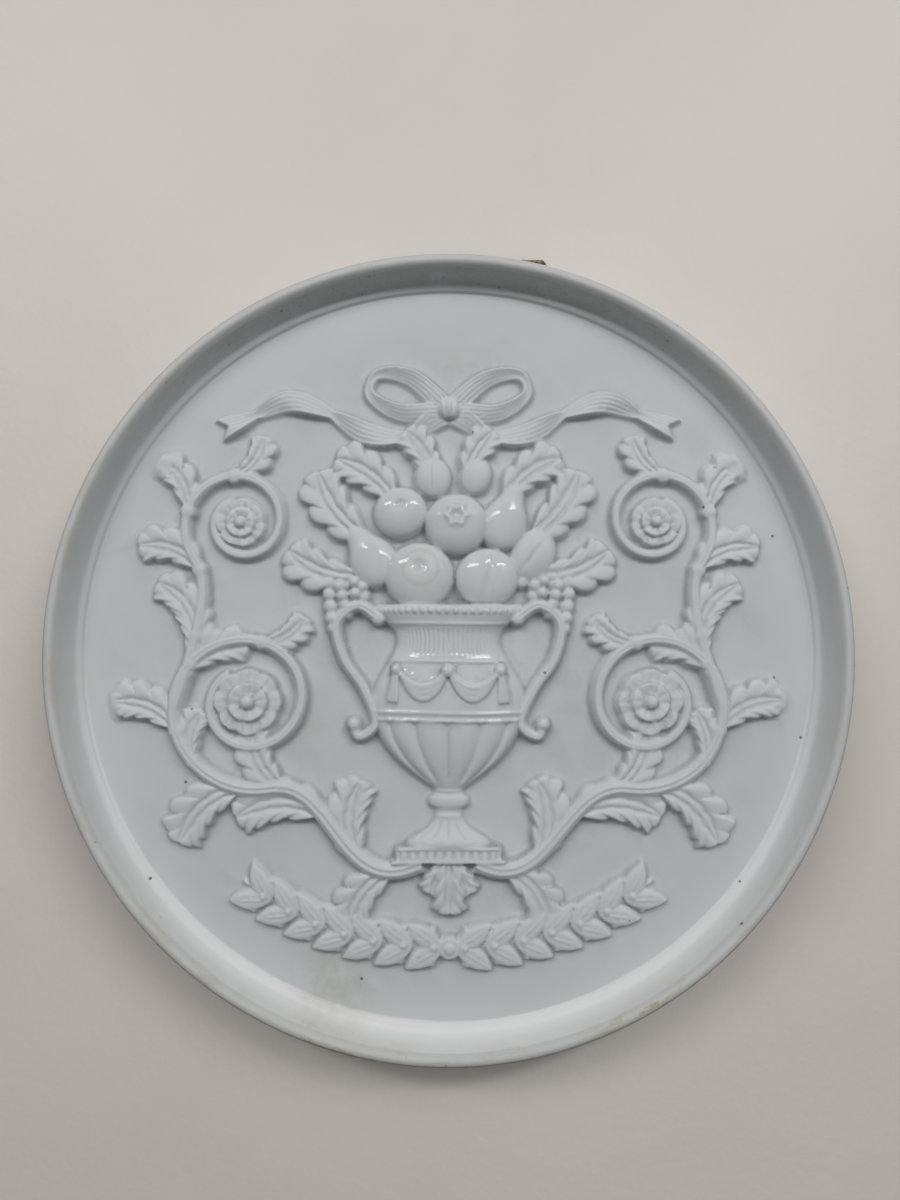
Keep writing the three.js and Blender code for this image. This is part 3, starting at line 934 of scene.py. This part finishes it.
def thin_out(piece, raster):
    """Collapses edges on the ornament only, down to the number of triangles allowed"""
    mesh = piece.data
    places = vertex_places(mesh)
    front = places[:, 1] < FRONT + settings().body.rim_rise + 0.5 * MM
    worked = under_ornament(raster, *sheet_places(places)) & front
    group = piece.vertex_groups.new(name="ornament")
    group.add([int(i) for i in np.nonzero(worked)[0]], 1.0, "REPLACE")
    triangles = sum(len(face.vertices) - 2 for face in mesh.polygons)
    make_active(piece)
    collapse = piece.modifiers.new("Thin out", "DECIMATE")
    collapse.ratio = min(1, settings().body.triangles / triangles)
    collapse.vertex_group = group.name
    collapse.vertex_group_factor = 0
    collapse.use_collapse_triangulate = True
    bpy.ops.object.modifier_apply(modifier=collapse.name)
    piece.vertex_groups.clear()


def soften_step(piece):
    """Lets the small step round the field fade into the cove towards the bottom"""
    field_radius = RADIUS - settings().body.rim_width
    field_front = FRONT + settings().body.rim_rise
    places = vertex_places(piece.data)
    radius = np.hypot(places[:, 0] - CENTRE.x, places[:, 2] - CENTRE.z)
    upward = (places[:, 2] - CENTRE.z) / np.maximum(radius, MM)
    step = places[:, 1] - field_front
    near = (np.abs(radius - field_radius) < 1.1 * MM) & (np.abs(step) < 0.5 * MM)
    keep = np.clip(0.8 + 0.8 * upward, 0.3, 1)
    places[near, 1] = (field_front + step * keep)[near]
    move_vertices(piece.data, places)


def relief_marks(raster, x, y):
    """Painted shade with some grime in the hollows and at the foot of forms, the raised forms and the
    polished summits, at places on the sheet
    """

    def read_blurred(spread):
        return read_sheet(blurred(raster, spread), x, y)

    level = read_sheet(raster, x, y)
    # Painted shade with some grime: broad darkening in the hollows and a crisp dark line at the foot
    # of each form
    broad = clamped((read_blurred(0.7) - level) / 0.22)
    crease = clamped((read_blurred(0.32) - level) / 0.06)
    slope_y, slope_x = np.gradient(blurred(raster, 0.35), CELL)
    steep = np.hypot(read_sheet(slope_x, x, y), read_sheet(slope_y, x, y))
    summit = clamped((read_blurred(0.5) - 0.58) / 0.14)
    return {
        "hollow_grime_and_shade": np.maximum(broad, crease),
        "raised": clamped(level / 0.4),
        "polish": summit * clamped((0.34 - steep) / 0.12),
    }


def rim_marks(sizes, places, field, front):
    """Where the rim has painted shade with a little dirt under its top, painted light low in its cove
    and handling marks, and each place's way round it and out to it
    """
    across = places[:, 0] - CENTRE.x
    up = places[:, 2] - CENTRE.z
    radius = np.maximum(np.hypot(across, up), MM)
    upward = up / radius
    leftward = clamped(-across / radius)
    degrees = np.degrees(np.arctan2(-across, -up))

    from_lip = radius - (RADIUS - sizes.lip_width)
    in_cove = front & ~field & (from_lip < 0)
    under_lip = clamped(1 + from_lip / (2.2 * MM))
    # Painted shade, with a little dirt, on the upper side of the cove and most of all under the lip
    dust_and_shade = clamped((upward - 0.35) / 0.55) * (0.1 + 0.9 * under_lip) * in_cove
    beside_rim = clamped(1 - (RADIUS - sizes.rim_width - radius) / (1.5 * MM)) * field
    on_lip = clamped((from_lip + 0.8 * MM) / (1.2 * MM)) * (places[:, 1] < BACK - 6 * MM)
    low = clamped((-upward - 0.5) / 0.25)
    smears = ridge(degrees, 15, 7) + ridge(degrees, -29, 5)
    return {
        # The cove's painted shade, and a painted shadow of the rim on the field just inside it at the
        # top
        "dust_and_shade": dust_and_shade + 0.25 * beside_rim * (upward > 0.2),
        # Painted light low in the cove
        "clean": clamped(0.2 - 0.8 * upward) * in_cove,
        "grime": on_lip * clamped(0.3 + 0.15 * low + 0.15 * leftward + 0.6 * smears),
        "foot": clamped((places[:, 1] - (BACK - 0.5 * MM)) / (0.3 * MM)),
        "around": np.radians(degrees) * RADIUS,
        "outward": radius,
    }


def mark_surface(piece, raster):
    """Writes the porcelain's wear and dirt, with painted shade and painted light, on its vertices, for
    the material to read
    """
    sizes = settings().body
    places = vertex_places(piece.data)
    radius = np.hypot(places[:, 0] - CENTRE.x, places[:, 2] - CENTRE.z)
    front = places[:, 1] < FRONT + sizes.rim_rise + 0.6 * MM
    field = front & (radius < RADIUS - sizes.rim_width - 0.4 * MM)
    for name, values in relief_marks(raster, *sheet_places(places)).items():
        give_attribute(piece.data, name, values * field)
    for name, values in rim_marks(sizes, places, field, front).items():
        give_attribute(piece.data, name, values)


# Materials


class Nodes:
    """Makes a material, and adds nodes to it with their values and links"""

    def __init__(self, name):
        self.material = bpy.data.materials.new(name)
        self.material.use_nodes = True
        self.tree = self.material.node_tree
        self.tree.nodes.clear()
        self.place = self.add("TexCoord").outputs["Object"]

    def feed(self, socket, value):
        if isinstance(value, bpy.types.NodeSocket):
            self.tree.links.new(value, socket)
        else:
            socket.default_value = value

    def add(self, kind, inputs=None, **options):
        node = self.tree.nodes.new("ShaderNode" + kind)
        for name, value in options.items():
            setattr(node, name, value)
        for name, value in (inputs or {}).items():
            self.feed(node.inputs[name], value)
        return node

    def maths(self, operation, first, second=0.0, clamp=False):
        node = self.add("Math", {0: first, 1: second}, operation=operation, use_clamp=clamp)
        return node.outputs[0]

    def times(self, first, second):
        return self.maths("MULTIPLY", first, second)

    def attribute(self, name):
        return self.add("Attribute", attribute_name=name).outputs["Fac"]

    def noise(self, scale, detail, roughness, vector=None):
        inputs = {"Scale": scale, "Detail": detail, "Roughness": roughness}
        inputs["Vector"] = self.place if vector is None else vector
        return self.add("TexNoise", inputs).outputs["Fac"]

    def ramp(self, value, low, high, bottom=0.0, top=1.0, kind="SMOOTHSTEP"):
        inputs = {"Value": value, "From Min": low, "From Max": high, "To Min": bottom, "To Max": top}
        return self.add("MapRange", inputs, interpolation_type=kind).outputs["Result"]

    def distance(self, centre):
        """How far each place on the piece is from a centre"""
        places = {0: self.place, 1: centre}
        return self.add("VectorMath", places, operation="DISTANCE").outputs["Value"]

    def grains(self, scale, channel, rarity, near, far):
        """Round grains, one in each cell of a pattern whose own number is past rarity"""
        cells = self.add("TexVoronoi", {"Vector": self.place, "Scale": scale, "Randomness": 1.0})
        numbers = self.add("SeparateColor", {"Color": cells.outputs["Color"]})
        chosen = self.maths("GREATER_THAN", numbers.outputs[channel], rarity)
        return self.times(chosen, self.ramp(cells.outputs["Distance"], near, far, 1, 0))

    def bump(self, height, strength, distance, below=None):
        inputs = {"Strength": strength, "Distance": distance, "Height": height}
        if below is not None:
            inputs["Normal"] = below
        return self.add("Bump", inputs).outputs[0]

    def mix(self, factor, first, second):
        """Mixes two tones, each a socket or red, green and blue"""
        node = self.add("Mix", data_type="RGBA", blend_type="MIX", clamp_factor=True)
        inputs = [socket for socket in node.inputs if socket.enabled]
        self.feed(inputs[0], factor)
        for socket, tone in zip(inputs[1:], (first, second)):
            self.feed(socket, tone if isinstance(tone, bpy.types.NodeSocket) else (*tone, 1))
        return [socket for socket in node.outputs if socket.enabled][0]

    def finish(self, surface):
        self.add("OutputMaterial", {"Surface": surface.outputs[0]})
        return self.material


def biscuit_tone(nodes, look):
    """The bare paste: clouded, whiter on the forms, with painted shade and some grime in the hollows
    """
    tone = nodes.mix(nodes.ramp(nodes.noise(38, 3, 0.55), 0.3, 0.7, 0, 0.45), look.body, look.cloud)
    stain = nodes.ramp(nodes.noise(24, 3, 0.6), 0.52, 0.74, 0, 0.4)
    tone = nodes.mix(stain, tone, look.stain)
    tone = nodes.mix(nodes.times(nodes.attribute("raised"), 0.6), tone, look.raised)
    # Painted shade, with some grime, laid in the hollows at uneven strength
    hold = nodes.ramp(nodes.noise(900, 2, 0.6), 0.2, 0.8, 0.45, 0.8)
    return nodes.mix(nodes.times(nodes.attribute("hollow_grime_and_shade"), hold), tone, look.recess)


def cove_tone_with_painted_light_and_shade(nodes, look, tone):
    """The rim's cove: painted light low in it, and under its top painted shade with a little real
    dirt, flecked with grains
    """
    # Painted light: whiter low in the cove
    tone = nodes.mix(nodes.attribute("clean"), tone, look.clean)
    # Painted shade under the top of the rim, with a little real dirt and grains of it
    dust_and_shade = nodes.attribute("dust_and_shade")
    dust_and_shade_film = nodes.ramp(nodes.noise(240, 4, 0.6), 0.3, 0.7, 0.2, 0.5)
    tone = nodes.mix(nodes.times(dust_and_shade, dust_and_shade_film), tone, look.dust_and_shade_film)
    grains = nodes.ramp(nodes.noise(1100, 5, 0.75), 0.54, 0.72)
    return nodes.mix(nodes.times(nodes.times(dust_and_shade, grains), 0.7), tone, look.dust_and_shade)


def handled_tone(nodes, look, tone):
    """The lip: an even tone where it is held, and smears drawn out along it"""
    grime = nodes.attribute("grime")
    tone = nodes.mix(nodes.times(grime, 0.7), tone, look.handled)
    along = nodes.times(nodes.attribute("around"), 0.22)
    lip_place = nodes.add("CombineXYZ", {"X": along, "Y": nodes.attribute("outward")}).outputs[0]
    smears = nodes.ramp(nodes.noise(420, 6, 0.72, lip_place), 0.49, 0.59)
    share = nodes.times(nodes.times(grime, grime), smears)
    return nodes.mix(nodes.times(share, 0.9), tone, look.grime)


def smudged_tone(nodes, look, tone):
    """The dull mark low on the left of the field"""
    centre = (CENTRE.x - 20 * MM, FRONT + 6 * MM, CENTRE.z - 59.5 * MM)
    spot = nodes.ramp(nodes.distance(centre), 2 * MM, 11 * MM, 1, 0)
    smudge = nodes.times(spot, nodes.ramp(nodes.noise(240, 4, 0.65), 0.3, 0.65))
    return nodes.mix(nodes.times(smudge, 0.4), tone, look.smudge)


def flecked_tone(nodes, look, tone):
    """A few dark flecks all over, and fine specks where there is grime or where the painted shade
    under the rim's top lies
    """
    flecks = nodes.grains(scale=150, channel=0, rarity=0.60, near=0.028, far=0.058)
    tone = nodes.mix(nodes.times(flecks, 0.85), tone, look.fleck)
    grime = nodes.times(nodes.attribute("grime"), 1.2)
    dirty = nodes.maths("ADD", nodes.attribute("dust_and_shade"), grime, clamp=True)
    specks = nodes.grains(scale=420, channel=1, rarity=0.82, near=0.06, far=0.16)
    specks = nodes.times(specks, dirty)
    return nodes.mix(nodes.times(specks, 0.7), tone, look.fleck)


def ringed_tone(nodes, look, tone):
    """The faint ring stain, not quite round, on one of the fruits"""
    centre = (CENTRE.x - 5.0 * MM, FRONT + 2 * MM, CENTRE.z + 15.5 * MM)
    wobble = nodes.times(nodes.noise(300, 2, 0.5), 1.2 * MM)
    away = nodes.maths("ADD", nodes.distance(centre), wobble)
    inner_edge = nodes.ramp(away, 3.1 * MM, 3.7 * MM)
    outer_edge = nodes.ramp(away, 4.0 * MM, 4.4 * MM, 1, 0)
    return nodes.mix(nodes.times(nodes.times(inner_edge, outer_edge), 0.16), tone, look.ring)


def porcelain_material():
    look = settings().porcelain
    nodes = Nodes("biscuit_porcelain")
    tone = biscuit_tone(nodes, look)
    for marked_tone in (cove_tone_with_painted_light_and_shade, handled_tone, smudged_tone, flecked_tone, ringed_tone):
        tone = marked_tone(nodes, look, tone)
    tone = nodes.mix(nodes.times(nodes.attribute("foot"), 0.35), tone, look.foot)

    rubbed = nodes.ramp(nodes.noise(150, 2, 0.5), 0.34, 0.46)
    shine = nodes.ramp(nodes.times(nodes.attribute("polish"), rubbed), 0.15, 0.85)
    roughness = nodes.ramp(shine, 0, 1, look.roughness, look.polish, "LINEAR")
    grain = nodes.bump(nodes.noise(2600, 3, 0.65), strength=0.10, distance=0.03 * MM)
    tooling = nodes.bump(nodes.noise(260, 3, 0.5), strength=0.20, distance=0.06 * MM, below=grain)
    return nodes.finish(nodes.add("BsdfPrincipled", {
        "Base Color": tone, "Roughness": roughness, "Normal": tooling, "IOR": 1.5,
        "Subsurface Weight": look.translucence, "Subsurface Radius": (1.0, 0.95, 0.85),
        "Subsurface Scale": 1.1 * MM}))


def linen_material():
    look = settings().linen
    nodes = Nodes("brown_linen")
    axes = nodes.add("SeparateXYZ", {"Vector": nodes.place})
    turn = math.tau / look.thread
    stretch = nodes.add("Mapping", {"Vector": nodes.place, "Scale": (1, 1, 0.15)}).outputs[0]
    uneven = nodes.times(nodes.noise(900, 2, 0.5, stretch), 2.4)
    waves = [nodes.times(axes.outputs[axis], turn) for axis in ("X", "Z")]
    warp, weft = [nodes.maths("SINE", nodes.maths("ADD", wave, uneven)) for wave in waves]
    weave = nodes.times(warp, weft)

    threads = nodes.times(nodes.ramp(weave, -1, 1), 0.75)
    tone = nodes.mix(threads, look.glue, look.cloth)
    patches = nodes.times(nodes.ramp(nodes.noise(260, 5, 0.65), 0.35, 0.7), 0.30)
    tone = nodes.mix(patches, tone, look.patch)
    fibres = nodes.ramp(nodes.noise(1500, 3, 0.7), 0.4, 0.6)
    tone = nodes.mix(nodes.times(nodes.attribute("torn"), fibres), tone, look.worn)
    return nodes.finish(nodes.add("BsdfPrincipled", {
        "Base Color": tone, "Roughness": 0.86, "Sheen Weight": 0.25, "Sheen Roughness": 0.5,
        "Normal": nodes.bump(weave, strength=0.8, distance=0.12 * MM)}))


def wall_material():
    """The pale wall. It is drawn from the front alone, so that the plaque's back can be seen"""
    look = settings().stage
    nodes = Nodes("pale_wall")
    clouds = nodes.ramp(nodes.noise(9, 4, 0.6), 0.3, 0.7)
    shader = nodes.add("BsdfPrincipled", {
        "Base Color": nodes.mix(clouds, look.wall, look.shade), "Roughness": 0.5,
        "Normal": nodes.bump(nodes.noise(620, 2, 0.5), strength=0.35, distance=0.2 * MM)})
    clear = nodes.add("BsdfTransparent")
    behind = nodes.add("NewGeometry").outputs["Backfacing"]
    return nodes.finish(nodes.add(
        "MixShader", {0: behind, 1: shader.outputs[0], 2: clear.outputs[0]}))


# Operators


def settings():
    return bpy.context.scene.plaque


class PLAQUE_OT_cast_body(Operator):
    """Grows the rim and back from the field, drills the cord holes and raises the relief"""

    bl_idname = "plaque.cast_body"
    bl_label = "Cast the body"

    def execute(self, context):
        sizes = settings().body
        raster = relief_sheet(settings().relief)
        piece, field_radius = mould_disc(sizes)
        rings = rim_section(sizes) + foot_section(sizes)
        grow_rim(piece, (field_radius, FRONT + sizes.rim_rise), rings)
        drill_holes(piece, sizes)
        soften_step(piece)
        refine_under_ornament(piece, raster)
        raise_relief(piece, raster)
        thin_out(piece, raster)
        make_active(piece)
        bpy.ops.object.shade_smooth()
        mark_surface(piece, raster)
        give_material(piece, porcelain_material())
        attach(piece, "root")
        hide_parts("plaque")
        return {"FINISHED"}


def torn_cloth(along, up, thickness):
    """Places of the strip's weave for shares along and up it, torn at its right and frayed on top"""
    size = STRIP_HIGH - STRIP_LOW
    tear = 0.55 * np.sin(up * 9 + 0.4) + 0.3 * np.sin(up * 23 + 1.1) + 0.15 * np.sin(up * 61)
    corner = 1.4 * clamped((up - 0.88) / 0.12) ** 2
    torn_off = (0.5 * (1 + tear) + corner) * MM * along ** 8
    fray = 0.18 * MM * (1 + np.sin(along * 190) * np.sin(along * 47 + 1))
    ripple = np.sin(along * 17) * np.cos(up * 5) * 0.07 * MM
    ripple = ripple + np.sin(along * 41 + up * 9) * 0.04 * MM
    x = STRIP_LOW.x + along * size.x - torn_off
    y = (STRIP_LOW.y + STRIP_HIGH.y - thickness) / 2 + ripple
    z = STRIP_LOW.z + up * size.z - 0.4 * fray * up ** 10
    return np.stack([x, y, z], -1)


class PLAQUE_OT_glue_strip(Operator):
    """Lays the torn strip of linen on the back, where its top edge shows past the rim"""

    bl_idname = "plaque.glue_strip"
    bl_label = "Glue the backing strip"

    def execute(self, context):
        size = STRIP_HIGH - STRIP_LOW
        thickness = size.y * 0.7
        clear_selection()
        bpy.ops.mesh.primitive_grid_add(x_subdivisions=120, y_subdivisions=48, size=1)
        piece = bpy.context.object
        piece.name = "linen_strip"
        mesh = piece.data
        u, v, _ = vertex_places(mesh).T
        move_vertices(mesh, torn_cloth(u + 0.5, v + 0.5, thickness))
        cloth = piece.modifiers.new("Thickness", "SOLIDIFY")
        cloth.thickness = thickness
        cloth.offset = 0
        make_active(piece)
        bpy.ops.object.modifier_apply(modifier=cloth.name)
        bpy.ops.object.mode_set(mode="EDIT")
        finish_facing_outwards()
        bpy.ops.object.shade_smooth_by_angle(angle=math.radians(40))
        places = vertex_places(mesh)
        right = (places[:, 0] - STRIP_LOW.x) / size.x
        top = (places[:, 2] - STRIP_LOW.z) / size.z
        torn = clamped(np.maximum((right - 0.9) / 0.08, (top - 0.93) / 0.06))
        give_attribute(mesh, "torn", torn)
        give_material(piece, linen_material())
        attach(piece, "root")
        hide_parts("backing_strip")
        return {"FINISHED"}


class PLAQUE_OT_set_stage(Operator):
    """Puts a pale wall behind the plaque, soft lights round it and the camera in front"""

    bl_idname = "plaque.set_stage"
    bl_label = "Set the stage"

    def execute(self, context):
        look = settings().stage
        self.build_wall()
        self.hang_lights(look)
        self.light_surroundings(look)
        camera = bpy.data.cameras.new("camera")
        camera.lens = look.lens
        camera.sensor_width = 36
        camera.clip_start = 0.005
        viewer = bpy.data.objects.new("camera", camera)
        context.scene.collection.objects.link(viewer)
        viewer.location = (CENTRE.x + look.aside, -look.distance, CENTRE.z + look.rise)
        viewer.rotation_euler = (math.pi / 2 - look.pitch, 0, 0)
        context.scene.camera = viewer
        context.scene.view_settings.view_transform = "Standard"
        return {"FINISHED"}

    def build_wall(self):
        """A wall that curves into a floor, extruded downwards from its top edge"""
        half_width = 1.4
        top = 1.1
        floor = -0.30
        floor_end = -1.6
        bend = 0.12
        bend_steps = 12
        strip = 0.02
        wall_y = BACK + 0.3 * MM
        clear_selection()
        bpy.ops.mesh.primitive_plane_add(size=1)
        wall = bpy.context.object
        wall.name = "stage_wall"
        mesh = wall.data
        move_vertices(mesh, np.array([
            (-half_width, wall_y, top - strip), (half_width, wall_y, top - strip),
            (-half_width, wall_y, top), (half_width, wall_y, top)]))
        make_active(wall)
        bpy.ops.object.mode_set(mode="EDIT")
        bpy.ops.mesh.select_mode(type="VERT")
        shape = bmesh.from_edit_mesh(mesh)
        for vertex in shape.verts:
            vertex.select = vertex.co.z < top - strip / 2
        shape.select_flush(False)
        bmesh.update_edit_mesh(mesh)
        route = []
        for step in range(bend_steps + 1):
            turn = math.pi / 2 * step / bend_steps
            route.append(
                (wall_y - bend + bend * math.cos(turn), floor + bend - bend * math.sin(turn)))
        route.append((floor_end, floor))
        y, z = wall_y, top - strip
        for next_y, next_z in route:
            bpy.ops.mesh.extrude_region_move(
                TRANSFORM_OT_translate={"value": (0, next_y - y, next_z - z)})
            y, z = next_y, next_z
        shape = bmesh.from_edit_mesh(mesh)
        shape.normal_update()
        toward_room = Vector((0, -1, 1))
        for face in shape.faces:
            if face.normal.dot(toward_room) < 0:
                face.normal_flip()
        bmesh.update_edit_mesh(mesh)
        bpy.ops.object.mode_set(mode="OBJECT")
        bpy.ops.object.shade_smooth()
        give_material(wall, wall_material())
        for ray in ("shadow", "diffuse", "glossy", "transmission"):
            setattr(wall, "visible_" + ray, False)

    def hang_lights(self, look):
        """Two narrow lamps high on the left and right, which the polish mirrors, a broad soft sheet
        in the place of each, which it doesn't, a broad light in front and a lamp for the back"""
        lights = (
            ("upper right lamp", (0.33, -0.61, 0.34), (0.36, 0.08), look.key * 0.55, True),
            ("upper left lamp", (-0.33, -0.61, 0.34), (0.36, 0.08), look.key * 0.45, True),
            ("upper right sheet", (0.33, -0.68, 0.34), (0.62, 0.55), look.key * 0.7, False),
            ("upper left sheet", (-0.33, -0.68, 0.34), (0.62, 0.55), look.key * 0.6, False),
            ("front light", (0, -0.95, -0.02), (0.9, 0.9), look.front, True),
            ("back lamp", (0.25, 0.60, 0.35), (0.6, 0.6), look.back, True),
        )
        for name, place, size, power, mirrored in lights:
            light = bpy.data.lights.new(name, "AREA")
            light.shape = "RECTANGLE"
            light.size, light.size_y = size
            light.energy = power
            lamp = bpy.data.objects.new(name, light)
            bpy.context.scene.collection.objects.link(lamp)
            lamp.location = place
            toward = CENTRE - Vector(place)
            lamp.rotation_mode = "QUATERNION"
            lamp.rotation_quaternion = toward.to_track_quat("-Z", "Y")
            lamp.visible_glossy = mirrored

    def light_surroundings(self, look):
        world = bpy.data.worlds.new("pale room")
        world.use_nodes = True
        background = world.node_tree.nodes["Background"]
        background.inputs["Color"].default_value = (*look.room, 1)
        background.inputs["Strength"].default_value = look.fill
        bpy.context.scene.world = world


class PLAQUE_PT_panel(Panel):
    bl_label = "Porcelain plaque"
    bl_idname = "PLAQUE_PT_panel"
    bl_space_type = "VIEW_3D"
    bl_region_type = "UI"
    bl_category = "Plaque"

    def draw(self, context):
        parts = (
            ("Body", "body", PLAQUE_OT_cast_body),
            ("Relief", "relief", None),
            ("Porcelain", "porcelain", None),
            ("Linen", "linen", PLAQUE_OT_glue_strip),
            ("Stage", "stage", PLAQUE_OT_set_stage),
        )
        for title, group, step in parts:
            box = self.layout.box()
            box.label(text=title)
            values = getattr(context.scene.plaque, group)
            for name in values.__annotations__:
                box.prop(values, name)
            if step:
                box.operator(step.bl_idname)


CLASSES = (
    BodySizes, ReliefSizes, PorcelainLook, LinenLook, StageLook, PlaqueSettings,
    PLAQUE_OT_cast_body, PLAQUE_OT_glue_strip, PLAQUE_OT_set_stage, PLAQUE_PT_panel,
)


def register():
    for item in CLASSES:
        bpy.utils.register_class(item)
    bpy.types.Scene.plaque = PointerProperty(type=PlaqueSettings)


def unregister():
    del bpy.types.Scene.plaque
    for item in reversed(CLASSES):
        bpy.utils.unregister_class(item)


def main():
    register()
    bpy.ops.plaque.cast_body()
    bpy.ops.plaque.glue_strip()
    bpy.ops.plaque.set_stage()
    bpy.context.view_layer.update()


if __name__ == "__main__":
    main()
